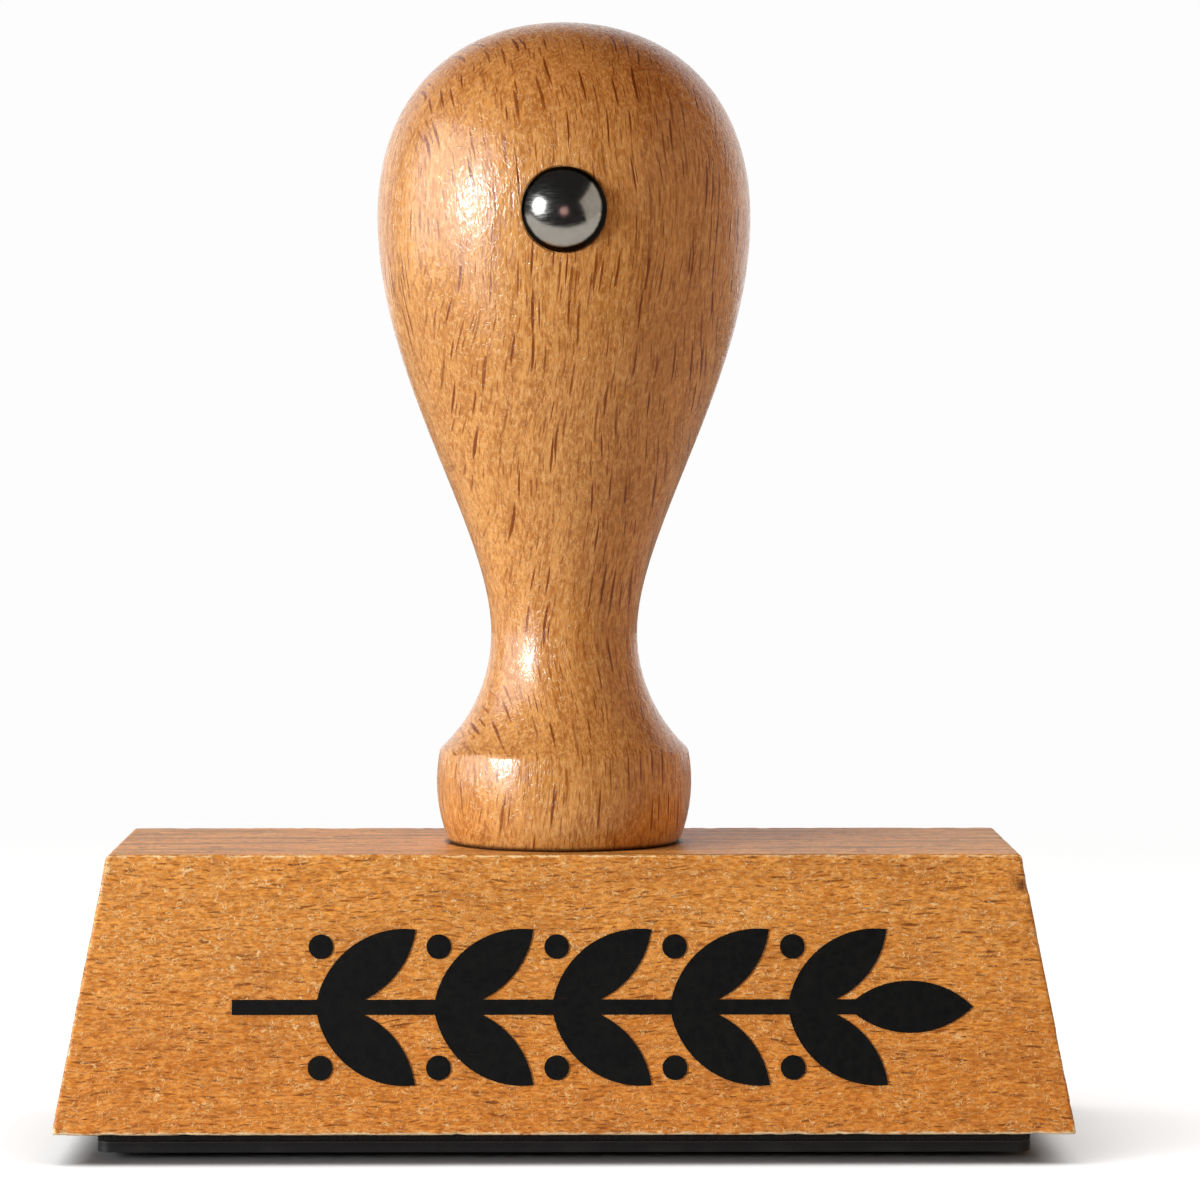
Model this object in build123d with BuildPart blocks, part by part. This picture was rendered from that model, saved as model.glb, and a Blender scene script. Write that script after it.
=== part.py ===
"""Hand stamp with a turned wooden handle, modelled in millimetres.

A pear-shaped handle stands on a wooden block with four sloping sides.  One countersunk screw comes up
through the block into the handle.  A domed cap on a nail marks the front of the handle.  Under the block
lie an adhesive film, a foam cushion, a second film and a rubber die whose relief prints a leaf sprig.
The same sprig is printed on the front of the block.

The frame: origin at the centre of the printing plane, +Z up, +X along the block, front towards -Y.
"""

import os
from math import asin, cos, degrees, radians, sin, sqrt, tan

from build123d import *

# Die stack, from the printing plane upwards
relief_depth = 0.5
die_floor = 0.7
film_thickness = 0.1
cushion_thickness = 0.8
die_inset = 3.0  # from the edge of the block's underside to the die's edge
die_corner_radius = 1.0

# Block
block_length = 74.5
block_depth = 28.5
block_height = 20.1
block_slope = 10.5  # degrees that each side leans in
block_corner_radius = 0.4
block_top_radius = 0.35
block_bottom_radius = 0.25

# Handle: a profile turned about Z, with heights from its seat on the block
handle_height = 61.5
bulb_height = 46.95
bulb_radius = 14.0
neck_height = 15.75
neck_radius = 5.5
shoulder_height = 7.0
shoulder_radius = 9.35
drum_height = 4.8
drum_radius = 9.6
foot_radius = 8.7
dome_crown_pull = 0.59  # share of the bulb radius that the crown stays flat for
dome_side_pull = 0.625  # share of the dome's height that its side stays steep for
taper_top_pull = 0.39  # shares of the taper's height that its two ends stay steep for
taper_neck_pull = 0.255
shoulder_edge_radius = 0.6
foot_edge_radius = 0.4

# Countersunk wood screw, driven up through the block
screw_length = 35.0
screw_thread_length = 21.0
screw_major_radius = 2.0
screw_core_radius = 1.35
screw_shank_radius = 1.95
screw_pitch = 1.8
thread_root = 0.1  # depth that the thread's base sinks into the core
screw_point_length = 3.0
screw_head_radius = 4.0
screw_head_band = 0.25
screw_head_angle = 90.0  # degrees across the head's cone
screw_head_recess = 0.5
screw_hole_clearance = 0.2
screw_pilot_clearance = 0.03
screw_pilot_spare = 1.5  # free depth past the screw's point
driver_slot_length = 4.4
driver_slot_width = 0.9
driver_slot_depth = 1.9
driver_slot_flare = 6.0  # degrees

# Front marker: a domed cap crimped over the head of a nail
cap_radius = 3.1
cap_height = 1.9
cap_wall = 0.3
cap_rim_height = 0.25
cap_lip_width = 1.1
cap_seat_clearance = 0.1
nail_radius = 0.8
nail_length = 9.0
nail_point_length = 1.8
nail_head_thickness = 0.3
nail_fit = 0.02

# Leaf sprig, the design that the die prints
sprig_length = 54.0
stem_width = 1.1
stem_tuck = 1.5  # length of the stem inside the leaf at its tip
leaf_length = 9.2
leaf_width = 3.8
leaf_angle = 38.0
leaf_pairs = 5
leaf_pitch = 8.6
berry_radius = 0.9
berry_rise = 4.4  # from the stem's middle
berry_advance = 0.35  # past the base of the pair of leaves that follows it
print_thickness = 0.08
print_shift = 2.8  # towards +X from the middle of the block's front
print_height = 9.3  # up the sloping front, from the block's underside

# Levels along Z
die_top = relief_depth + die_floor
cushion_bottom = die_top + film_thickness
cushion_top = cushion_bottom + cushion_thickness
block_bottom = cushion_top + film_thickness
block_top = block_bottom + block_height
bulb_level = block_top + bulb_height
level_margin = 0.01  # either side of a level, for picking the edges that lie on it

# Sizes that follow
die_length = block_length - 2 * die_inset
die_depth = block_depth - 2 * die_inset
screw_head_level = block_bottom + screw_head_recess
screw_point_level = screw_head_level + screw_length
screw_hole_radius = screw_major_radius + screw_hole_clearance
cap_seat_radius = cap_radius + cap_seat_clearance
cap_seat_offset = sqrt(bulb_radius**2 - cap_seat_radius**2)  # from the handle's axis to the cap's seat


def sheet(name, bottom, thickness):
    """A flat layer with the die's outline."""
    with BuildPart() as layer:
        with BuildSketch(Plane.XY.offset(bottom)):
            RectangleRounded(die_length, die_depth, die_corner_radius)
        extrude(amount=thickness)
    layer.part.label = name
    return layer.part


def leaf_outline():
    """One leaf from its base at the origin to its tip on +X, bounded by two arcs."""
    with BuildSketch() as leaf:
        with BuildLine():
            upper = ThreePointArc((0, 0), (leaf_length / 2, leaf_width / 2), (leaf_length, 0))
            ThreePointArc(upper @ 1, (leaf_length / 2, -leaf_width / 2), upper @ 0)
        make_face()
    return leaf.sketch


def sprig_outline():
    """The sprig, centred on the origin: a stem along X, leaves in pairs, berries, and a leaf at its tip."""
    left_end = -sprig_length / 2
    tip_leaf_base = sprig_length / 2 - leaf_length
    first_pair = tip_leaf_base - leaf_pairs * leaf_pitch
    with BuildSketch() as sprig:
        stem_length = tip_leaf_base + stem_tuck - left_end
        with Locations((left_end + stem_length / 2, 0)):
            Rectangle(stem_length, stem_width)
        with Locations((tip_leaf_base, 0)):
            add(leaf_outline())
        for index in range(leaf_pairs):
            base = first_pair + (index + 0.5) * leaf_pitch
            for side in (1, -1):
                with Locations(Location((base, 0), side * leaf_angle)):
                    add(leaf_outline())
                with Locations((base + berry_advance, side * berry_rise)):
                    Circle(berry_radius)
    return sprig.sketch


# Rubber die: a floor with the sprig standing proud of it, printing face down
with BuildPart() as rubber_die:
    with BuildSketch(Plane.XY.offset(relief_depth)):
        RectangleRounded(die_length, die_depth, die_corner_radius)
    extrude(amount=die_floor)
    with BuildSketch(Plane.XY):
        add(sprig_outline())
    extrude(amount=relief_depth)
rubber_die.part.label = "rubber_die"

# Layers between the die and the block
die_film = sheet("die_film", die_top, film_thickness)
foam_cushion = sheet("foam_cushion", cushion_bottom, cushion_thickness)
mount_film = sheet("mount_film", cushion_top, film_thickness)

# Block: four sides lean in by the same angle, and the screw's hole is sunk from below
with BuildPart() as block:
    with BuildSketch(Plane.XY.offset(block_bottom)):
        Rectangle(block_length, block_depth)
    extrude(amount=block_height, taper=block_slope)
    sloping_edges = block.edges().filter_by(Plane.XY, reverse=True)
    fillet(sloping_edges, block_corner_radius)
    fillet(block.edges().group_by(Axis.Z)[-1], block_top_radius)
    fillet(block.edges().group_by(Axis.Z)[0], block_bottom_radius)
    with Locations(Location((0, 0, block_bottom), (180, 0, 0))):
        CounterSinkHole(
            radius=screw_hole_radius,
            counter_sink_radius=screw_head_radius + screw_head_recess + screw_head_band,
            counter_sink_angle=screw_head_angle,
        )
block.part.label = "block"

# Handle: the turned profile, then the screw's pilot hole and the marker's seat and nail hole
seat_plane = Plane(origin=(0, 0, block_top), x_dir=(1, 0, 0), z_dir=(0, -1, 0))
marker_origin = (0, -cap_seat_offset, bulb_level)
marker_face = Plane(origin=marker_origin, x_dir=(1, 0, 0), z_dir=(0, -1, 0))
marker_profile = Plane(origin=marker_origin, x_dir=(1, 0, 0), z_dir=(0, 0, -1))
marker_axis = Axis(marker_origin, (0, -1, 0))
crown = handle_height - bulb_height
taper = bulb_height - neck_height
with BuildPart() as handle:
    with BuildSketch(seat_plane):
        with BuildLine():
            top = Bezier(
                (0, handle_height),
                (dome_crown_pull * bulb_radius, handle_height),
                (bulb_radius, bulb_height + dome_side_pull * crown),
                (bulb_radius, bulb_height),
            )
            side = Bezier(
                top @ 1,
                (bulb_radius, bulb_height - taper_top_pull * taper),
                (neck_radius, neck_height + taper_neck_pull * taper),
                (neck_radius, neck_height),
            )
            cove = TangentArc(side @ 1, (shoulder_radius, shoulder_height), tangent=(0, -1))
            drum = ThreePointArc(cove @ 1, (drum_radius, drum_height), (foot_radius, 0))
            Polyline(drum @ 1, (0, 0), (0, handle_height))
        make_face()
    revolve(axis=Axis.Z)
    for height, radius in ((0, foot_edge_radius), (shoulder_height, shoulder_edge_radius)):
        level = block_top + height
        rings = handle.edges().filter_by(GeomType.CIRCLE)
        fillet(rings.filter_by_position(Axis.Z, level - level_margin, level + level_margin), radius)
    with Locations((0, 0, block_top)):
        Hole(
            radius=screw_core_radius + screw_pilot_clearance,
            depth=screw_point_level - block_top + screw_pilot_spare,
        )
    with BuildSketch(marker_face):
        Circle(cap_seat_radius)
    extrude(amount=bulb_radius, mode=Mode.SUBTRACT)
    with Locations(marker_face):
        Hole(radius=nail_radius + nail_fit, depth=nail_length)
handle.part.label = "handle"

# Front marker: the cap's wall follows a sphere down to a rim that is turned in under the nail's head
sphere_rise = cap_height - cap_rim_height
cap_sphere = (cap_radius**2 + sphere_rise**2) / (2 * sphere_rise)
sphere_centre = cap_height - cap_sphere
inner_sphere = cap_sphere - cap_wall
outer_start = degrees(asin((cap_rim_height - sphere_centre) / cap_sphere))
inner_start = degrees(asin((cap_wall - sphere_centre) / inner_sphere))
with BuildPart() as marker_cap:
    with BuildSketch(marker_profile):
        with BuildLine():
            outside = CenterArc((0, sphere_centre), cap_sphere, outer_start, 90 - outer_start)
            inside = CenterArc((0, sphere_centre), inner_sphere, inner_start, 90 - inner_start)
            Line(outside @ 1, inside @ 1)
            Polyline(
                outside @ 0,
                (cap_radius, 0),
                (cap_radius - cap_lip_width, 0),
                (cap_radius - cap_lip_width, cap_wall),
                inside @ 0,
            )
        make_face()
    revolve(axis=marker_axis)
marker_cap.part.label = "marker_cap"

nail_head_top = cap_wall + nail_head_thickness
nail_head_radius = sqrt(inner_sphere**2 - (nail_head_top - sphere_centre) ** 2) - nail_fit
nail_tip = cap_wall - nail_length
with BuildPart() as marker_nail:
    with BuildSketch(marker_profile):
        with BuildLine():
            Polyline(
                (0, nail_head_top),
                (nail_head_radius, nail_head_top),
                (nail_head_radius, cap_wall),
                (nail_radius, cap_wall),
                (nail_radius, nail_tip + nail_point_length),
                (0, nail_tip),
                close=True,
            )
        make_face()
    revolve(axis=marker_axis)
marker_nail.part.label = "marker_nail"

# Screw: head, shank, core and point are turned, the thread is swept, and the head takes a cross driver
screw_plane = Plane(origin=(0, 0, screw_head_level), x_dir=(1, 0, 0), z_dir=(0, -1, 0))
head_cone = (screw_head_radius - screw_shank_radius) / tan(radians(screw_head_angle / 2))
thread_start = screw_length - screw_thread_length
thread_end = screw_length - screw_point_length
thread_depth = screw_major_radius - screw_core_radius
thread_base = screw_pitch / 2
with BuildPart() as fixing_screw:
    with BuildSketch(screw_plane):
        with BuildLine():
            Polyline(
                (0, 0),
                (screw_head_radius, 0),
                (screw_head_radius, screw_head_band),
                (screw_shank_radius, screw_head_band + head_cone),
                (screw_shank_radius, thread_start - thread_depth),
                (screw_core_radius, thread_start),
                (screw_core_radius, thread_end),
                (0, screw_length),
                close=True,
            )
        make_face()
    revolve(axis=Axis.Z)
    with BuildLine():
        helix = Helix(
            pitch=screw_pitch,
            height=screw_length - screw_point_length - thread_start,
            radius=screw_core_radius,
            center=(0, 0, screw_head_level + thread_start),
        )
    with BuildSketch(Plane(origin=helix @ 0, x_dir=(1, 0, 0), z_dir=helix % 0)):
        with BuildLine():
            Polyline(
                (-thread_root, -thread_base / 2),
                (thread_depth, 0),
                (-thread_root, thread_base / 2),
                close=True,
            )
        make_face()
    sweep(path=helix, is_frenet=True)
    with BuildSketch(Plane.XY.offset(screw_head_level)):
        Rectangle(driver_slot_length, driver_slot_width)
        Rectangle(driver_slot_width, driver_slot_length)
    extrude(amount=driver_slot_depth, taper=driver_slot_flare, mode=Mode.SUBTRACT)
fixing_screw.part.label = "fixing_screw"

# Print on the block's front: the sprig, as a thin film of ink on the slope
front_foot = (print_shift, -block_depth / 2, block_bottom)
slope = radians(block_slope)
print_plane = Plane(origin=front_foot, x_dir=(1, 0, 0), z_dir=(0, -cos(slope), sin(slope)))
with BuildPart() as front_print:
    with BuildSketch(print_plane):
        with Locations((0, print_height)):
            add(sprig_outline())
    extrude(amount=print_thickness)
front_print.part.label = "front_print"

os.makedirs("parts", exist_ok=True)
solid_pieces = [
    rubber_die.part,
    die_film,
    foam_cushion,
    mount_film,
    block.part,
    handle.part,
    marker_cap.part,
    marker_nail.part,
    fixing_screw.part,
    front_print.part,
]
for piece in solid_pieces:
    export_step(piece, f"parts/{piece.label}.step")
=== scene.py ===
"""Looks of the hand stamp in a white studio: lacquered beech, polished marker, inked front, rubber die."""

import math

import bmesh
import bpy
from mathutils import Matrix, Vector, noise


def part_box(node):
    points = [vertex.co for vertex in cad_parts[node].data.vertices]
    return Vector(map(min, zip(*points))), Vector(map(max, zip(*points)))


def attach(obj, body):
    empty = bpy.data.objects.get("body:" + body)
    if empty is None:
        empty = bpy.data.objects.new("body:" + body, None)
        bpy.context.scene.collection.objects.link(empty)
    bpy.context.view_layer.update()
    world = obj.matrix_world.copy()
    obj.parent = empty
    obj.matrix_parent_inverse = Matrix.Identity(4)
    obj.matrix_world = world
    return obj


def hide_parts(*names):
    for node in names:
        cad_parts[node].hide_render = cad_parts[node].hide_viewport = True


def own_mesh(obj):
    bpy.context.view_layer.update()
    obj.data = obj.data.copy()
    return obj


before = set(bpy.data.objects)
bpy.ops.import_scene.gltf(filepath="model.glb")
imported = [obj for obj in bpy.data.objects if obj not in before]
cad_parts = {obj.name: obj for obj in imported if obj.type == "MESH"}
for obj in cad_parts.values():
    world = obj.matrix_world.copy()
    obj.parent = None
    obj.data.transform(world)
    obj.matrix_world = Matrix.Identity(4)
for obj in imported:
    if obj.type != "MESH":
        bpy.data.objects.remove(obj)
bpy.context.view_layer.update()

MM = 0.001

# Block, beside the box that the frame gives
BLOCK_SLOPE = math.radians(10.5)
BLOCK_TOP_RADIUS = 0.35 * MM
BLOCK_BOTTOM_RADIUS = 0.25 * MM
BLOCK_GRID = 0.42 * MM
SCREW_HOLE_RADIUS = 2.2 * MM
SCREW_SINK_RADIUS = 4.75 * MM
CUTTER_OVER = 1.0 * MM
CUTTER_TURNS = 64
NICK_REACH = 0.9 * MM
NICK_DEPTH = 0.13 * MM
SANDING_DEPTH = 0.015 * MM
DENT_HALF = (0.75 * MM, 1.2 * MM, 0.5 * MM)
DENT_DEPTH = 0.32 * MM
WEAR_REACH = 0.38 * MM
RIM_BAND = 0.5 * MM  # from the top or the bottom, within which an edge is rubbed the most
FOOT_RADIUS = 8.7  # millimetres, of the handle's foot, around which a shadow is painted on the block

# Marker, beside the box that the frame gives
CAP_RIM_HEIGHT = 0.25 * MM
CAP_WALL = 0.3 * MM
CAP_LIP_WIDTH = 1.1 * MM
CAP_RINGS = 40
CAP_INNER_RINGS = 8
CAP_INNER_SPREAD = 0.82  # of the angle that the outside spans
CAP_TURNS = 96
CAP_PRESS_DEPTH = 0.006 * MM
CAP_PRESS_SIZE = 1.3 * MM
RIM_DARK_START = 2.70  # millimetres from its axis
RIM_DARK_END = 2.92
RIM_DARK_SHIFT = 0.06  # millimetres to the left, and as much up

# Foam
FOAM_EDGE = 0.2 * MM
FOAM_GRID = 0.7 * MM
FOAM_PINCH = 0.12 * MM
FOAM_REACH = 1.2 * MM

# Handle
GRAIN_TURN = -16  # degrees about Z

# Camera
CAMERA_DISTANCE = 332.8 * MM
CAMERA_HEIGHT = 54.62 * MM
CAMERA_LENS = 132.5
CAMERA_SENSOR = 36.0
CAMERA_PITCH = math.radians(2.43)
CAMERA_YAW = math.radians(0.466)

# Studio
AIM = Vector((0, 0, 45 * MM))
WHITE = (1.0, 1.0, 1.0, 1.0)
TABLE_FRONT = -94 * MM
TABLE_FRONT_BLUR = 3 * MM
TABLE_DROP = 0.05 * MM
TABLE_RADIUS = 900 * MM
TABLE_FADE_START = 90 * MM
TABLE_FADE_END = 300 * MM
OPERATOR_RADIUS = 52 * MM
OPERATOR_PLACE = (0, -330 * MM, 48 * MM)
WIDE_LAMP = (620 * MM, 620 * MM)
SMALL_LAMP = (300 * MM, 300 * MM)


class Nodes:
    """One node tree, built by short calls that add a node and return the output that is wanted."""

    def __init__(self, tree):
        self.tree = tree

    def add(self, kind, inputs=None, output=0, **settings):
        node = self.tree.nodes.new("ShaderNode" + kind)
        for name, value in settings.items():
            setattr(node, name, value)
        for key, value in (inputs or {}).items():
            self.plug(node.inputs[key], value)
        return node.outputs[output]

    def plug(self, socket, value):
        if isinstance(value, bpy.types.NodeSocket):
            self.tree.links.new(value, socket)
        else:
            socket.default_value = value

    def math(self, operation, a, b=0.0, clamp=False):
        return self.add("Math", {0: a, 1: b}, operation=operation, use_clamp=clamp)

    def vector(self, operation, a, b=(0, 0, 0), output="Vector"):
        return self.add("VectorMath", {0: a, 1: b}, output, operation=operation)

    def noise(self, place, scale=1.0, detail=2.0, roughness=0.5, distortion=0.0, output=0):
        inputs = {
            "Vector": place,
            "Scale": scale,
            "Detail": detail,
            "Roughness": roughness,
            "Distortion": distortion,
        }
        return self.add("TexNoise", inputs, output)

    def step(self, value, start, end, low=0.0, high=1.0):
        """A smooth step: low at start and before it, high at end and past it."""
        inputs = {"Value": value, "From Min": start, "From Max": end, "To Min": low, "To Max": high}
        return self.add("MapRange", inputs, interpolation_type="SMOOTHSTEP", clamp=True)

    def mix(self, share, a, b, blend="MIX"):
        inputs = {0: share, 6: a, 7: b}
        return self.add("Mix", inputs, 2, data_type="RGBA", blend_type=blend, clamp_factor=True)

    @staticmethod
    def rgb(red, green, blue):
        return (red, green, blue, 1.0)

    def split(self, value):
        node = self.tree.nodes.new("ShaderNodeSeparateXYZ")
        self.plug(node.inputs[0], value)
        return node.outputs


def emptied(owner):
    """The Nodes of a material or a world, with nothing in its tree."""
    owner.use_nodes = True
    owner.node_tree.nodes.clear()
    return Nodes(owner.node_tree)


def finish_tree(n, shade, kind="Material"):
    """Leads a shader's output to the tree's own output."""
    output = n.tree.nodes.new("ShaderNodeOutput" + kind)
    n.tree.links.new(shade, output.inputs["Surface"])


def new_material(name):
    """A material that has only a Principled shader so far, with its Nodes and that shader."""
    material = bpy.data.materials.new(name)
    n = emptied(material)
    shader = n.tree.nodes.new("ShaderNodeBsdfPrincipled")
    finish_tree(n, shader.outputs[0])
    return material, n, shader


def own_place(n):
    """Object coordinates in millimetres."""
    here = n.add("TexCoord", output="Object")
    return n.vector("MULTIPLY", here, (1 / MM, 1 / MM, 1 / MM))


def turned(n, place, degrees, order="XYZ"):
    """Place turned about Z, with its axes put in another order, so that Z follows the grain."""
    inputs = {"Vector": place, "Angle": math.radians(degrees)}
    x, y, z = n.split(n.add("VectorRotate", inputs, rotation_type="Z_AXIS"))
    axes = {"X": x, "Y": y, "Z": z}
    return n.add("CombineXYZ", {i: axes[axis] for i, axis in enumerate(order)})


def marks(n, place, cell, half, share, soft=0.6):
    """Lens-shaped marks, one in each Voronoi cell that the share keeps: 0 outside them to 1 inside."""
    scaled = n.vector("DIVIDE", place, cell)
    voronoi = n.tree.nodes.new("ShaderNodeTexVoronoi")
    n.plug(voronoi.inputs["Vector"], scaled)
    voronoi.inputs["Scale"].default_value = 1.0
    offset = n.vector("MULTIPLY", n.vector("SUBTRACT", scaled, voronoi.outputs["Position"]), cell)
    reach = n.vector("LENGTH", n.vector("DIVIDE", offset, half), output="Value")
    size, keep, strength = n.split(voronoi.outputs["Color"])
    reach = n.math("DIVIDE", reach, n.math("ADD", 0.45, size))
    inside = n.step(reach, 1.0, 1.0 - soft)
    kept = n.math("LESS_THAN", keep, share)
    weight = n.math("MULTIPLY", kept, n.math("ADD", 0.35, strength), clamp=True)
    return n.math("MULTIPLY", inside, weight)


def marks_around(n, place, facing, cell, half, share, soft):
    """Marks that stay narrow all round: a second set takes over where the surface faces along X."""
    x, y, z = n.split(place)
    side = n.step(n.math("ABSOLUTE", n.split(facing)[0]), 0.88, 0.95)
    sideways = n.add("CombineXYZ", {0: y, 1: x, 2: z})
    front = marks(n, place, cell, half, share, soft)
    return n.add("Mix", {0: side, 2: front, 3: marks(n, sideways, cell, half, share, soft)})


def streaks(n, place, across, along, detail=3.0):
    """Fine fibre: noise drawn out along Z, in features of these sizes in millimetres."""
    return n.noise(n.vector("DIVIDE", place, (across, across * 3, along)), 1.0, detail, 0.55)


def curls(n, place, size, width, shape=0.6):
    """Thin curled lines, of loops about this size in millimetres: 1 on a line and 0 beside it."""
    level = n.noise(n.vector("DIVIDE", place, size), 1.0, 1.0, 0.5, shape)
    return n.step(n.math("ABSOLUTE", n.math("SUBTRACT", level, 0.5)), width, 0.0)


def bump(n, heights, distance):
    """A normal from heights given as (output, share), with the full share as deep as distance."""
    total = 0.0
    for height, share in heights:
        total = n.math("ADD", total, n.math("MULTIPLY", height, share))
    return n.add("Bump", {"Strength": 1.0, "Distance": distance, "Height": total})


def handle_wood():
    """Turned beech under gloss lacquer: upright grain, ray flecks and a finely crackled surface."""
    material, n, shader = new_material("turned_beech")
    place = own_place(n)
    sway = n.vector("SUBTRACT", n.noise(place, 0.09, 1.0, output=1), (0.5, 0.5, 0.5))
    swayed = n.vector("ADD", place, n.vector("MULTIPLY", sway, (2.4, 2.4, 1.0)))
    grain = turned(n, swayed, GRAIN_TURN)
    facing = turned(n, n.add("TexCoord", output="Normal"), GRAIN_TURN)
    fleck = marks_around(n, grain, facing, (0.80, 3.2, 3.3), (0.095, 1.4, 1.7), 1.0, 0.4)
    short = marks_around(n, grain, facing, (0.38, 1.8, 1.5), (0.052, 0.8, 0.68), 0.95, 0.4)
    fibre = streaks(n, grain, 0.13, 2.0)
    wide = streaks(n, grain, 0.9, 14.0, 2.0)
    cloud = n.noise(place, 0.16, 3.0)
    fine = n.noise(n.vector("MULTIPLY", grain, (1, 1, 0.33)), 4.2, 3.0, 0.65)
    curl = curls(n, grain, (0.42, 0.42, 0.85), 0.045)

    light = n.rgb(0.90, 0.415, 0.115)
    deep = n.rgb(0.56, 0.20, 0.038)
    tone = n.math("ADD", n.math("MULTIPLY", fibre, 0.6), n.math("MULTIPLY", wide, 0.4))
    colour = n.mix(n.step(tone, 0.62, 0.38), light, deep)
    colour = n.mix(n.step(cloud, 0.35, 0.7, 0.0, 0.4), colour, n.rgb(0.66, 0.265, 0.06))
    colour = n.mix(n.step(fine, 0.5, 0.68, 0.0, 0.6), colour, n.rgb(1.0, 0.55, 0.20))
    colour = n.mix(n.step(fine, 0.5, 0.32, 0.0, 0.6), colour, n.rgb(0.42, 0.13, 0.020))
    # Painted glints: pale curled lines are put into the colour as small highlights.
    colour = n.mix(n.math("MULTIPLY", curl, 0.4), colour, n.rgb(1.0, 0.60, 0.25))
    colour = n.mix(n.math("MULTIPLY", short, 0.75), colour, n.rgb(0.31, 0.072, 0.004))
    colour = n.mix(n.math("MULTIPLY", fleck, 0.95), colour, n.rgb(0.25, 0.050, 0.002))
    level = n.split(place)[2]
    foot, top = (corner.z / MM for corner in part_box("handle"))
    # Painted shade: the colour darkens over the lowest 2.6 mm of the handle, and a painted dark contact
    # shadow runs just above its foot.
    colour = n.mix(n.step(level, foot + 2.6, foot + 0.2), colour, n.rgb(0.80, 0.80, 0.74), "MULTIPLY")
    colour = n.mix(n.step(level, foot + 0.45, foot + 0.1, 0.0, 0.8), colour, n.rgb(0.12, 0.04, 0.01))
    # Painted shade: the colour turns darker and warmer over the top 11 mm of the bulb.
    colour = n.mix(n.step(level, top - 11.0, top - 3.0), colour, n.rgb(0.90, 0.80, 0.70), "MULTIPLY")
    n.plug(shader.inputs["Base Color"], colour)
    n.plug(shader.inputs["Roughness"], n.step(fine, 0.3, 0.66, 0.34, 0.11))
    shader.inputs["IOR"].default_value = 1.5
    ripple = n.noise(n.vector("MULTIPLY", place, (1, 1, 0.6)), 1.9, 2.0, 0.5, 0.8)
    heights = [(ripple, 1.0), (curl, 0.24), (fine, 0.15), (fibre, 0.08), (fleck, -0.25)]
    n.plug(shader.inputs["Normal"], bump(n, heights, 0.045 * MM))
    return material


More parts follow.
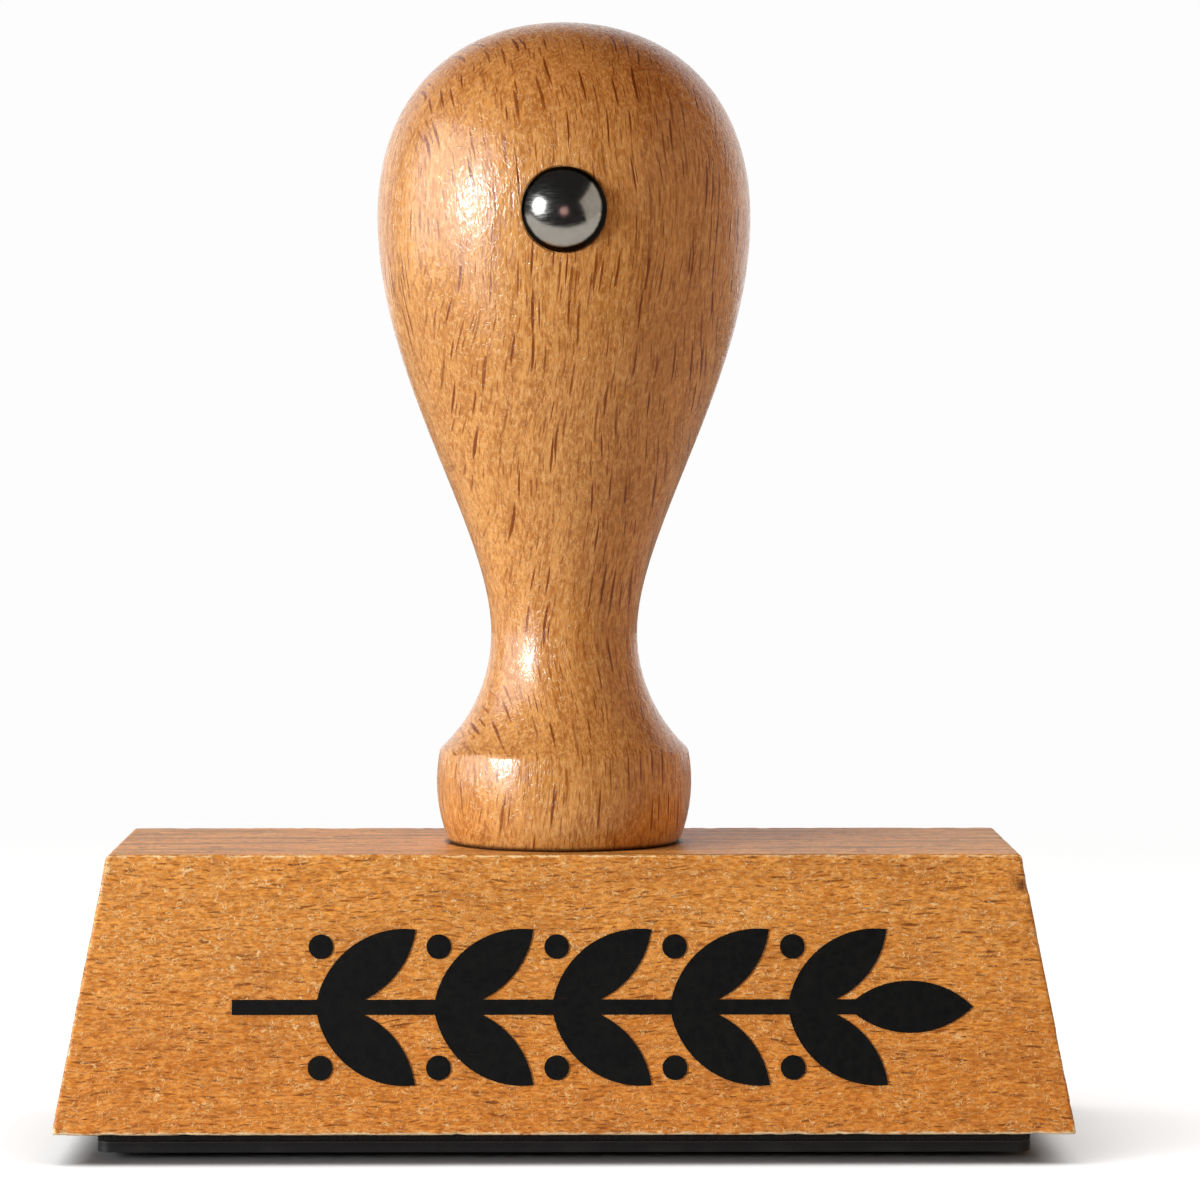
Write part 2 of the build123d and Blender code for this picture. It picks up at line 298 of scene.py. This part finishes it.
def block_wood():
    """Sawn and sanded beech under a thin satin coat: level grain, short pores, and edges worn pale."""
    material, n, shader = new_material("sanded_beech")
    place = own_place(n)
    sway = n.vector("SUBTRACT", n.noise(place, 0.11, 2.0, output=1), (0.5, 0.5, 0.5))
    swayed = n.vector("ADD", place, n.vector("MULTIPLY", sway, (1.0, 2.0, 2.2)))
    grain = turned(n, swayed, 0, "ZYX")
    pore = marks(n, grain, (0.34, 0.4, 1.05), (0.055, 0.16, 0.42), 0.9, 0.5)
    speck = marks(n, grain, (0.24, 0.3, 0.5), (0.05, 0.12, 0.17), 0.8, 0.5)
    dash = marks(n, grain, (0.75, 0.8, 2.3), (0.075, 0.34, 0.85), 0.75, 0.5)
    fibre = streaks(n, grain, 0.14, 0.9)
    wide = streaks(n, grain, 0.8, 9.0, 2.0)
    cloud = n.noise(place, 0.2, 3.0)
    fine = n.noise(n.vector("MULTIPLY", place, (0.42, 1, 1)), 4.4, 3.0, 0.65)
    curl = curls(n, place, (0.7, 0.45, 0.38), 0.04, 1.0)
    patch = n.noise(place, 0.9, 2.0)

    light = n.rgb(0.97, 0.405, 0.073)
    deep = n.rgb(0.64, 0.215, 0.028)
    tone = n.math("ADD", n.math("MULTIPLY", fibre, 0.6), n.math("MULTIPLY", wide, 0.4))
    colour = n.mix(n.step(tone, 0.62, 0.38), light, deep)
    colour = n.mix(n.step(cloud, 0.4, 0.7, 0.0, 0.5), colour, n.rgb(0.62, 0.22, 0.034))
    colour = n.mix(n.step(wide, 0.48, 0.68, 0.0, 0.5), colour, n.rgb(0.42, 0.12, 0.016))
    colour = n.mix(n.step(fine, 0.5, 0.66, 0.0, 0.55), colour, n.rgb(1.0, 0.50, 0.15))
    colour = n.mix(n.step(fine, 0.5, 0.34, 0.0, 0.55), colour, n.rgb(0.42, 0.12, 0.014))
    colour = n.mix(n.math("MULTIPLY", speck, 0.6), colour, n.rgb(0.32, 0.085, 0.011))
    colour = n.mix(n.math("MULTIPLY", pore, 0.85), colour, n.rgb(0.27, 0.066, 0.006))
    colour = n.mix(n.math("MULTIPLY", dash, 0.9), colour, n.rgb(0.25, 0.060, 0.005))
    # Painted glints: pale curled lines, in patches, are put into the colour as small highlights.
    painted_glint = n.math("MULTIPLY", curl, n.step(patch, 0.35, 0.65, 0.15, 0.85))
    colour = n.mix(painted_glint, colour, n.rgb(1.0, 0.68, 0.34))

    band = n.noise(n.vector("MULTIPLY", place, (0.07, 0.75, 0.75)), 1.0, 3.0, 0.6)
    up = n.step(n.split(n.add("TexCoord", output="Normal"))[2], 0.7, 0.95)
    streaked = n.math("MULTIPLY", up, n.step(band, 0.46, 0.62, 0.0, 0.65))
    colour = n.mix(streaked, colour, n.rgb(0.31, 0.135, 0.034))

    # Painted shadow: a dark ring on the top face, close round the handle's foot.
    around = n.vector("LENGTH", n.vector("MULTIPLY", place, (1, 1, 0)), output="Value")
    painted_foot_shadow = n.math("MULTIPLY", up, n.step(around, FOOT_RADIUS + 0.55, FOOT_RADIUS + 0.1, 0.0, 0.85))
    colour = n.mix(painted_foot_shadow, colour, n.rgb(0.10, 0.034, 0.008))
    foot, top = (corner.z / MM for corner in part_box("block"))
    # Painted shade: the colour turns darker and warmer towards the bottom of the block.
    low = n.step(n.split(place)[2], top - 4.0, foot + 3.0)
    colour = n.mix(low, colour, n.rgb(0.95, 0.85, 0.72), "MULTIPLY")
    wear = n.add("Attribute", output="Fac", attribute_name="wear")
    gouge = n.add("Attribute", output="Fac", attribute_name="gouge")
    worn = n.step(n.math("ADD", wear, n.math("MULTIPLY", n.math("SUBTRACT", fine, 0.5), 0.9)), 0.3, 0.65)
    colour = n.mix(n.math("MULTIPLY", worn, 0.85), colour, n.rgb(1.0, 0.78, 0.48))
    colour = n.mix(gouge, colour, n.rgb(0.27, 0.095, 0.025))
    n.plug(shader.inputs["Base Color"], colour)
    n.plug(shader.inputs["Roughness"], n.step(fine, 0.3, 0.7, 0.36, 0.52))
    shader.inputs["IOR"].default_value = 1.42
    heights = [(fine, 1.0), (fibre, 0.5), (curl, 0.5), (pore, -0.7), (dash, -0.8), (speck, -0.4)]
    n.plug(shader.inputs["Normal"], bump(n, heights, 0.05 * MM))
    return material


def polished_chrome():
    """Bright plated metal with faint wipe marks and pinholes, and a dark band painted round its rim as
    shade and dark reflection.
    """
    material, n, shader = new_material("polished_chrome")
    place = own_place(n)
    wipe = n.noise(n.vector("MULTIPLY", place, (1.2, 1.2, 9.0)), 1.4, 3.0, 0.6)
    haze = n.noise(place, 1.6, 3.0, 0.6)
    pit = marks(n, place, (0.5, 0.5, 0.5), (0.055, 0.055, 0.055), 0.45)
    clean, dull = n.rgb(0.78, 0.76, 0.72), n.rgb(0.66, 0.63, 0.58)
    colour = n.mix(n.step(haze, 0.35, 0.75, 0.0, 0.6), clean, dull)
    colour = n.mix(n.math("MULTIPLY", pit, 0.7), colour, n.rgb(0.22, 0.19, 0.15))
    # Painted shade and reflection: a black band round the rim, off centre so that it is thicker at the
    # right and bottom.
    axis = (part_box("marker_cap")[0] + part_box("marker_cap")[1]) / 2
    rim_centre = (axis.x / MM - RIM_DARK_SHIFT, 0, axis.z / MM + RIM_DARK_SHIFT)
    beside = n.vector("MULTIPLY", n.vector("SUBTRACT", place, rim_centre), (1, 0, 1))
    reach = n.math("ADD", n.vector("LENGTH", beside, output="Value"), n.math("MULTIPLY", haze, 0.12))
    rim = n.step(reach, RIM_DARK_START, RIM_DARK_END)
    colour = n.mix(rim, colour, n.rgb(0.012, 0.010, 0.008))
    n.plug(shader.inputs["Base Color"], colour)
    shader.inputs["Metallic"].default_value = 1.0
    n.plug(shader.inputs["Roughness"], n.step(wipe, 0.3, 0.75, 0.13, 0.24))
    n.plug(shader.inputs["Normal"], bump(n, [(wipe, 0.4), (haze, 1.0), (pit, -0.5)], 0.003 * MM))
    return material


def bright_steel(name, tint, rough):
    """Drawn steel wire with lengthwise die marks and a little grey bloom."""
    material, n, shader = new_material(name)
    place = own_place(n)
    draw = n.noise(n.vector("MULTIPLY", place, (9.0, 9.0, 1.0)), 1.0, 3.0, 0.6)
    bloom = n.noise(place, 0.9, 4.0, 0.6)
    dull = n.rgb(*(0.55 * value for value in tint))
    n.plug(shader.inputs["Base Color"], n.mix(n.step(bloom, 0.4, 0.75), n.rgb(*tint), dull))
    shader.inputs["Metallic"].default_value = 1.0
    n.plug(shader.inputs["Roughness"], n.step(draw, 0.3, 0.7, rough, rough + 0.18))
    n.plug(shader.inputs["Normal"], bump(n, [(draw, 1.0), (bloom, 0.6)], 0.006 * MM))
    return material


def black_ink():
    """Matt black print that has sunk a little into the wood's grain."""
    material, n, shader = new_material("black_ink")
    place = own_place(n)
    grain = turned(n, place, 0, "ZYX")
    thin = marks(n, grain, (0.5, 4.0, 1.35), (0.05, 2.0, 0.4), 0.5)
    mottle = n.noise(place, 1.6, 3.0, 0.6)
    dark, pale = n.rgb(0.0035, 0.0035, 0.0037), n.rgb(0.0065, 0.0062, 0.0058)
    colour = n.mix(n.step(mottle, 0.35, 0.7), dark, pale)
    colour = n.mix(n.math("MULTIPLY", thin, 0.5), colour, n.rgb(0.022, 0.016, 0.010))
    n.plug(shader.inputs["Base Color"], colour)
    n.plug(shader.inputs["Roughness"], n.step(mottle, 0.3, 0.7, 0.55, 0.72))
    shader.inputs["Specular IOR Level"].default_value = 0.18
    n.plug(shader.inputs["Normal"], bump(n, [(mottle, 1.0), (thin, -0.8)], 0.02 * MM))
    return material


def die_rubber():
    """Moulded dark rubber with a faint bloom and mould grain."""
    material, n, shader = new_material("moulded_rubber")
    place = own_place(n)
    grain = n.noise(place, 6.0, 3.0, 0.6)
    bloom = n.noise(place, 0.35, 4.0, 0.6)
    dark, pale = n.rgb(0.012, 0.012, 0.013), n.rgb(0.030, 0.029, 0.030)
    colour = n.mix(n.step(bloom, 0.4, 0.75, 0.0, 0.8), dark, pale)
    n.plug(shader.inputs["Base Color"], colour)
    n.plug(shader.inputs["Roughness"], n.step(grain, 0.3, 0.7, 0.5, 0.66))
    n.plug(shader.inputs["Normal"], bump(n, [(grain, 1.0), (bloom, 0.5)], 0.012 * MM))
    return material


def adhesive_film():
    """Thin grey carrier film, with the creases and dust of a cut edge."""
    material, n, shader = new_material("adhesive_film")
    place = own_place(n)
    crease = n.noise(place, 1.3, 3.0, 0.6)
    dust = marks(n, place, (0.8, 0.8, 0.8), (0.06, 0.06, 0.06), 0.4)
    colour = n.mix(n.step(crease, 0.35, 0.7), n.rgb(0.030, 0.029, 0.027), n.rgb(0.055, 0.052, 0.047))
    colour = n.mix(n.math("MULTIPLY", dust, 0.5), colour, n.rgb(0.16, 0.15, 0.13))
    n.plug(shader.inputs["Base Color"], colour)
    n.plug(shader.inputs["Roughness"], n.step(crease, 0.3, 0.7, 0.3, 0.5))
    n.plug(shader.inputs["Normal"], bump(n, [(crease, 1.0)], 0.01 * MM))
    return material


def cell_foam():
    """Charcoal foam with open cells."""
    material, n, shader = new_material("cell_foam")
    place = own_place(n)
    cells = n.add("TexVoronoi", {"Vector": place, "Scale": 5.5})
    tint = n.noise(place, 0.6, 3.0, 0.6)
    colour = n.mix(n.step(cells, 0.1, 0.55), n.rgb(0.010, 0.010, 0.011), n.rgb(0.042, 0.041, 0.043))
    colour = n.mix(n.step(tint, 0.4, 0.8, 0.0, 0.4), colour, n.rgb(0.055, 0.053, 0.055))
    n.plug(shader.inputs["Base Color"], colour)
    n.plug(shader.inputs["Roughness"], n.step(tint, 0.3, 0.7, 0.82, 0.95))
    n.plug(shader.inputs["Normal"], bump(n, [(cells, 1.0)], 0.06 * MM))
    return material


def stops(reach, near, middle):
    """Places from -reach to reach: close together near both ends, and evenly spaced between."""
    band = [reach - near * share for share in (0, 0.15, 0.35, 0.6, 0.9, 1.3, 1.8, 2.5)]
    inner = band[-1]
    count = max(2, round(2 * inner / middle))
    between = [-inner + 2 * inner * step / count for step in range(count + 1)]
    return sorted(set([-place for place in band[:-1]] + between + band[:-1]))


def grid_box(half, near, middle):
    """A box's surface as a grid: a bmesh, with every vertex on one of the faces at +-half."""
    lines = [stops(reach, near, middle) for reach in half]
    mesh = bmesh.new()
    made = {}

    def corner(key):
        if key not in made:
            made[key] = mesh.verts.new([lines[axis][key[axis]] for axis in range(3)])
        return made[key]

    for axis in range(3):
        u, v = (axis + 1) % 3, (axis + 2) % 3
        for end in (0, len(lines[axis]) - 1):
            for i in range(len(lines[u]) - 1):
                for j in range(len(lines[v]) - 1):
                    ring = []
                    for step_u, step_v in ((0, 0), (1, 0), (1, 1), (0, 1)):
                        key = [0, 0, 0]
                        key[axis], key[u], key[v] = end, i + step_u, j + step_v
                        ring.append(corner(tuple(key)))
                    mesh.faces.new(ring if end else ring[::-1])
    return mesh


def smooth(value, start, end):
    """0 at start to 1 at end, with no corner at either."""
    share = min(1.0, max(0.0, (value - start) / (end - start)))
    return share * share * (3 - 2 * share)


def circle(count):
    """The cosine and sine of each of this many even steps around a circle."""
    turn = [2 * math.pi * step / count for step in range(count)]
    return [(math.cos(angle), math.sin(angle)) for angle in turn]


def join_rings(mesh, rings):
    """Faces between each ring of vertices and the next."""
    for first, second in zip(rings, rings[1:]):
        for step in range(len(first)):
            after = (step + 1) % len(first)
            mesh.faces.new((first[step], first[after], second[after], second[step]))


def new_object(name, mesh):
    """An object from a bmesh, which is freed."""
    data = bpy.data.meshes.new(name)
    mesh.to_mesh(data)
    mesh.free()
    made = bpy.data.objects.new(name, data)
    bpy.context.scene.collection.objects.link(made)
    return made


def new_piece(name, mesh, material, angle=40):
    """An object from a bmesh, smooth but for its sharp edges."""
    piece = new_object(name, mesh)
    piece.data.materials.append(material)
    piece.data.shade_smooth()
    piece.data.set_sharp_from_angle(angle=math.radians(angle))
    return piece


def applied(piece, modifier):
    """Applies one modifier to a piece."""
    bpy.context.view_layer.objects.active = piece
    with bpy.context.temp_override(object=piece, active_object=piece):
        bpy.ops.object.modifier_apply(modifier=modifier.name)


def screw_hole_cutter(bottom):
    """The screw's hole and its countersink, as a solid that reaches past both faces of the block."""
    depth = SCREW_SINK_RADIUS - SCREW_HOLE_RADIUS
    profile = [
        (SCREW_SINK_RADIUS + CUTTER_OVER, bottom - CUTTER_OVER),
        (SCREW_HOLE_RADIUS, bottom + depth),
        (SCREW_HOLE_RADIUS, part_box("block")[1].z + CUTTER_OVER),
    ]
    mesh = bmesh.new()
    rings = []
    for radius, level in profile:
        ring = [(radius * c, radius * s, level) for c, s in circle(CUTTER_TURNS)]
        rings.append([mesh.verts.new(corner) for corner in ring])
    join_rings(mesh, rings)
    mesh.faces.new(rings[0][::-1])
    mesh.faces.new(rings[-1])
    return new_object("screw_hole_cutter", mesh)


def wooden_block():
    """The block: a rounded sloping box, sanded unevenly, with nicked edges and one dent on its right."""
    low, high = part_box("block")
    corner_gain = BLOCK_BOTTOM_RADIUS * (1 / math.tan((math.pi / 2 - BLOCK_SLOPE) / 2) - 1)
    half = Vector((high.x + corner_gain, high.y + corner_gain, (high.z - low.z) / 2))
    mesh = grid_box(half, BLOCK_TOP_RADIUS, BLOCK_GRID)
    wear_layer = mesh.verts.layers.float.new("wear")
    gouge_layer = mesh.verts.layers.float.new("gouge")
    dent = Vector((0.99 * half.x, -half.y, 0.77 * half.z))
    for vertex in mesh.verts:
        start = vertex.co.copy()
        margins = sorted(half[axis] - abs(start[axis]) for axis in range(3))
        radius = BLOCK_TOP_RADIUS if start.z > 0 else BLOCK_BOTTOM_RADIUS
        inner = Vector([min(half[a] - radius, max(radius - half[a], start[a])) for a in range(3)])
        outward = start - inner
        place = inner + outward.normalized() * radius if outward.length > radius else start
        normal = outward.normalized()

        nick = noise.noise(start / (1.6 * MM)) + 0.6 * noise.noise(start / (0.55 * MM))
        near_edge = 1 - smooth(margins[1], 0, NICK_REACH)
        depth = near_edge * max(0.0, nick - 0.1) * NICK_DEPTH
        depth += SANDING_DEPTH * (1 + noise.noise(start / (3.5 * MM)))
        away = start - dent
        reach = Vector([away[axis] / DENT_HALF[axis] for axis in range(3)])
        hollow = 1 - smooth(reach.length, 0.35, 1.1)
        depth += DENT_DEPTH * hollow
        place -= normal * depth

        level = place.z + half.z
        for axis in (0, 1):
            place[axis] *= 1 - level * math.tan(BLOCK_SLOPE) / half[axis]
        place.z += (low.z + high.z) / 2
        vertex.co = place
        rubbed = 0.62 if start.z > 0 else 1.0
        rubbed = rubbed if half.z - abs(start.z) < RIM_BAND else 0.5
        vertex[wear_layer] = rubbed * math.exp(-margins[1] / WEAR_REACH) * (0.8 + 0.5 * nick)
        vertex[gouge_layer] = hollow
    mesh.normal_update()
    piece = new_piece("wooden_block", mesh, block_wood(), 50)
    cutter = screw_hole_cutter(low.z)
    cut = piece.modifiers.new("screw_hole", "BOOLEAN")
    cut.operation = "DIFFERENCE"
    cut.solver = "EXACT"
    cut.object = cutter
    applied(piece, cut)
    bpy.data.objects.remove(cutter)
    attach(piece, "mount")
    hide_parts("block")
    return piece


def marker_dome():
    """The marker's cap: a thin dome that was pressed by hand, with its rim turned in."""
    low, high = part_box("marker_cap")
    centre = (low + high) / 2
    radius = (high.x - low.x) / 2
    height = high.y - low.y
    rise = height - CAP_RIM_HEIGHT
    sphere = (radius**2 + rise**2) / (2 * rise)
    spread = math.asin(radius / sphere)
    profile = []
    for step in range(1, CAP_RINGS + 1):
        angle = spread * step / CAP_RINGS
        profile.append((sphere * math.sin(angle), height - sphere * (1 - math.cos(angle))))
    wall = radius - CAP_WALL
    profile += [(radius, CAP_RIM_HEIGHT / 2), (radius, 0), (radius - CAP_LIP_WIDTH, 0)]
    profile += [(radius - CAP_LIP_WIDTH, CAP_WALL), (wall - CAP_WALL, CAP_WALL)]
    for step in range(CAP_INNER_RINGS):
        angle = spread * (1 - step / CAP_INNER_RINGS) * CAP_INNER_SPREAD
        inner = sphere - CAP_WALL
        profile.append((inner * math.sin(angle), height - CAP_WALL - inner * (1 - math.cos(angle))))

    mesh = bmesh.new()
    rings = []
    for reach, out in profile:
        level = high.y - out
        ring = [(centre.x + reach * c, level, centre.z + reach * s) for c, s in circle(CAP_TURNS)]
        rings.append([mesh.verts.new(corner) for corner in ring])
    join_rings(mesh, rings)
    for ring, level in ((rings[0], low.y), (rings[-1], low.y + CAP_WALL)):
        pole = mesh.verts.new((centre.x, level, centre.z))
        for step in range(CAP_TURNS):
            mesh.faces.new((pole, ring[(step + 1) % CAP_TURNS], ring[step]))
    bmesh.ops.recalc_face_normals(mesh, faces=mesh.faces)
    for vertex in mesh.verts:
        place = vertex.co
        pressed = CAP_PRESS_DEPTH * (1 + noise.noise(place / CAP_PRESS_SIZE))
        vertex.co.y += pressed if place.y < high.y - CAP_RIM_HEIGHT else 0.0
    piece = new_piece("marker_dome", mesh, polished_chrome(), 40)
    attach(piece, "mount")
    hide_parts("marker_cap")
    return piece


def foam_pad():
    """The foam between the films: its cut sides bulge a little and show how the knife strayed."""
    low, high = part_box("foam_cushion")
    half = (high - low) / 2
    middle = (high + low) / 2
    mesh = grid_box(half, FOAM_EDGE, FOAM_GRID)
    for vertex in mesh.verts:
        place = vertex.co.copy()
        level = place.z / half.z
        pinch = FOAM_PINCH * level * level
        wander = 0.06 * MM * (1 + noise.noise(place / (2.4 * MM)))
        wander += 0.03 * MM * (1 + noise.noise(place / (0.5 * MM)))
        for axis in (0, 1):
            edge = smooth(half[axis] - abs(place[axis]), FOAM_REACH, 0)
            place[axis] -= math.copysign(edge * (pinch + wander), place[axis])
        vertex.co = place + middle
    mesh.normal_update()
    piece = new_piece("foam_pad", mesh, cell_foam(), 40)
    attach(piece, "mount")
    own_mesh(piece)
    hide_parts("foam_cushion")
    return piece


def paint(node, material):
    """Gives a CAD node its material."""
    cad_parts[node].data.materials.clear()
    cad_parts[node].data.materials.append(material)


def camera():
    """The camera, at the height and distance that the studio is framed from."""
    data = bpy.data.cameras.new("camera")
    data.sensor_width = CAMERA_SENSOR
    data.lens = CAMERA_LENS
    data.clip_start = 10 * MM
    data.clip_end = 20.0
    seat = bpy.data.objects.new("camera", data)
    bpy.context.scene.collection.objects.link(seat)
    seat.location = (0, -CAMERA_DISTANCE, CAMERA_HEIGHT)
    seat.rotation_euler = (math.pi / 2 - CAMERA_PITCH, 0, -CAMERA_YAW)
    bpy.context.scene.camera = seat


def toward(azimuth, elevation):
    """A direction from the object: azimuth 0 is towards the front, and grows towards the right."""
    a, e = math.radians(azimuth), math.radians(elevation)
    return Vector((math.sin(a) * math.cos(e), -math.cos(a) * math.cos(e), math.sin(e)))


def lamp(name, azimuth, elevation, distance, size, radiance, colour=(1, 1, 1), roll=0, **settings):
    """An area light that faces the object, with its strength given as the radiance of its surface."""
    data = bpy.data.lights.new(name, "AREA")
    data.shape = settings.get("shape", "RECTANGLE")
    data.size, data.size_y = size
    area = size[0] * size[1] * (math.pi / 4 if data.shape == "ELLIPSE" else 1)
    data.energy = radiance * math.pi * area
    data.color = colour
    light = bpy.data.objects.new(name, data)
    bpy.context.scene.collection.objects.link(light)
    light.location = AIM + toward(azimuth, elevation) * distance
    light.rotation_euler = (AIM - light.location).to_track_quat("-Z", "Y").to_euler()
    light.rotation_euler.rotate_axis("Z", math.radians(roll))
    light.visible_camera = False
    light.visible_glossy = settings.get("mirrored", True)
    light.visible_diffuse = settings.get("lights", True)
    if "only" in settings:
        receivers = bpy.data.collections.new(name)
        for piece in settings["only"]:
            receivers.objects.link(piece)
        light.light_linking.receiver_collection = receivers
    return light


def studio_world():
    """White to the camera.  The object sees a white backdrop behind it and a dim room in front."""
    world = bpy.data.worlds.new("studio")
    bpy.context.scene.world = world
    n = emptied(world)
    _, y, z = n.split(n.add("TexCoord", output="Generated"))
    back = n.step(y, 0.5, 0.78)
    low = n.step(z, 0.75, 0.35)
    glow = n.math("MULTIPLY", back, low)
    paths = n.tree.nodes.new("ShaderNodeLightPath")
    room = n.math("ADD", n.math("MULTIPLY", paths.outputs["Is Diffuse Ray"], 0.17), 0.015)
    level = n.math("ADD", n.math("MULTIPLY", glow, 1.15), room)
    level = n.add("Mix", {0: paths.outputs["Is Camera Ray"], 2: level, 3: 0.982})
    tint = n.mix(paths.outputs["Is Diffuse Ray"], WHITE, n.rgb(1.0, 0.72, 0.50))
    finish_tree(n, n.add("Background", {"Color": tint, "Strength": level}), "World")


def disc(name, sides, radius):
    """A flat round piece of the studio, facing up, and the Nodes of its empty material."""
    mesh = bmesh.new()
    bmesh.ops.create_circle(mesh, cap_ends=True, segments=sides, radius=radius)
    made = new_object(name, mesh)
    material = bpy.data.materials.new(name)
    made.data.materials.append(material)
    return made, emptied(material)


def table():
    """A white table that melts into the backdrop, with its own soft light from above on the left."""
    top, n = disc("table", 96, TABLE_RADIUS)
    top.location = (0, 0, -TABLE_DROP)
    here = n.add("TexCoord", output="Object")
    y = n.split(here)[1]
    paths = n.tree.nodes.new("ShaderNodeLightPath")
    seen = n.add("BsdfDiffuse", {"Color": n.rgb(0.24, 0.24, 0.24)})
    unseen = n.add("BsdfDiffuse", {"Color": n.rgb(0.082, 0.079, 0.073)})
    clear = n.add("BsdfTransparent")
    front = n.step(y, TABLE_FRONT + TABLE_FRONT_BLUR, TABLE_FRONT - TABLE_FRONT_BLUR)
    unseen = n.add("MixShader", {0: front, 1: unseen, 2: clear})
    shade = n.add("MixShader", {0: paths.outputs["Is Camera Ray"], 1: unseen, 2: seen})
    away = n.vector("LENGTH", here, output="Value")
    fade = n.step(away, TABLE_FADE_START, TABLE_FADE_END)
    fade = n.math("MULTIPLY", fade, paths.outputs["Is Camera Ray"])
    finish_tree(n, n.add("MixShader", {0: fade, 1: shade, 2: clear}))
    lamp("table_light", -75, 62, 650 * MM, WIDE_LAMP, 16.0, only=[top])
    lamp("table_fill", 75, 58, 650 * MM, WIDE_LAMP, 10.5, only=[top])


def operator_card():
    """What the marker's dome mirrors at its centre: a hand behind the camera, seen by mirrors alone."""
    card, n = disc("operator_card", 48, OPERATOR_RADIUS)
    card.location = OPERATOR_PLACE
    card.rotation_euler = (math.pi / 2, 0, 0)
    for ray in ("camera", "diffuse", "shadow", "transmission", "volume_scatter"):
        setattr(card, "visible_" + ray, False)
    finish_tree(n, n.add("Emission", {"Color": n.rgb(0.62, 0.36, 0.33), "Strength": 0.8}))


def studio(block):
    """The room, the table, the lights, and a soft light from above on the block alone."""
    studio_world()
    table()
    operator_card()
    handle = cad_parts["handle"]
    lamp(
        "softbox", -57, 10, 550 * MM, (175 * MM, 190 * MM), 33.8, (0.95, 1.005, 1.05),
        shape="ELLIPSE",
    )
    lamp("sheen", -76, 6, 500 * MM, WIDE_LAMP, 4.6, (0.94, 1.0, 1.06), lights=False, only=[handle])
    lamp("block_sheen", -66, 6, 500 * MM, WIDE_LAMP, 1.1, lights=False, only=[block])
    lamp("halo", -57, 10, 540 * MM, (330 * MM, 350 * MM), 0.6, (1.0, 0.97, 0.92), shape="ELLIPSE")
    lamp("reflector", 80, 8, 420 * MM, (600 * MM, 560 * MM), 0.33, (1.0, 0.90, 0.78), roll=24)
    lamp("fill", 62, 15, 450 * MM, SMALL_LAMP, 0.82, (1.0, 0.58, 0.28), mirrored=False)
    lamp(
        "overhead", -50, 72, 500 * MM, SMALL_LAMP, 3.4, (0.98, 1.0, 0.64),
        mirrored=False, only=[block],
    )
    bpy.context.scene.view_settings.view_transform = "Standard"


camera()
studio(wooden_block())
marker_dome()
foam_pad()
film = adhesive_film()
for node, material in (
    ("handle", handle_wood()),
    ("marker_nail", bright_steel("nail_steel", (0.62, 0.61, 0.59), 0.25)),
    ("fixing_screw", bright_steel("screw_steel", (0.66, 0.64, 0.58), 0.3)),
    ("front_print", black_ink()),
    ("rubber_die", die_rubber()),
    ("die_film", film),
    ("mount_film", film),
):
    paint(node, material)
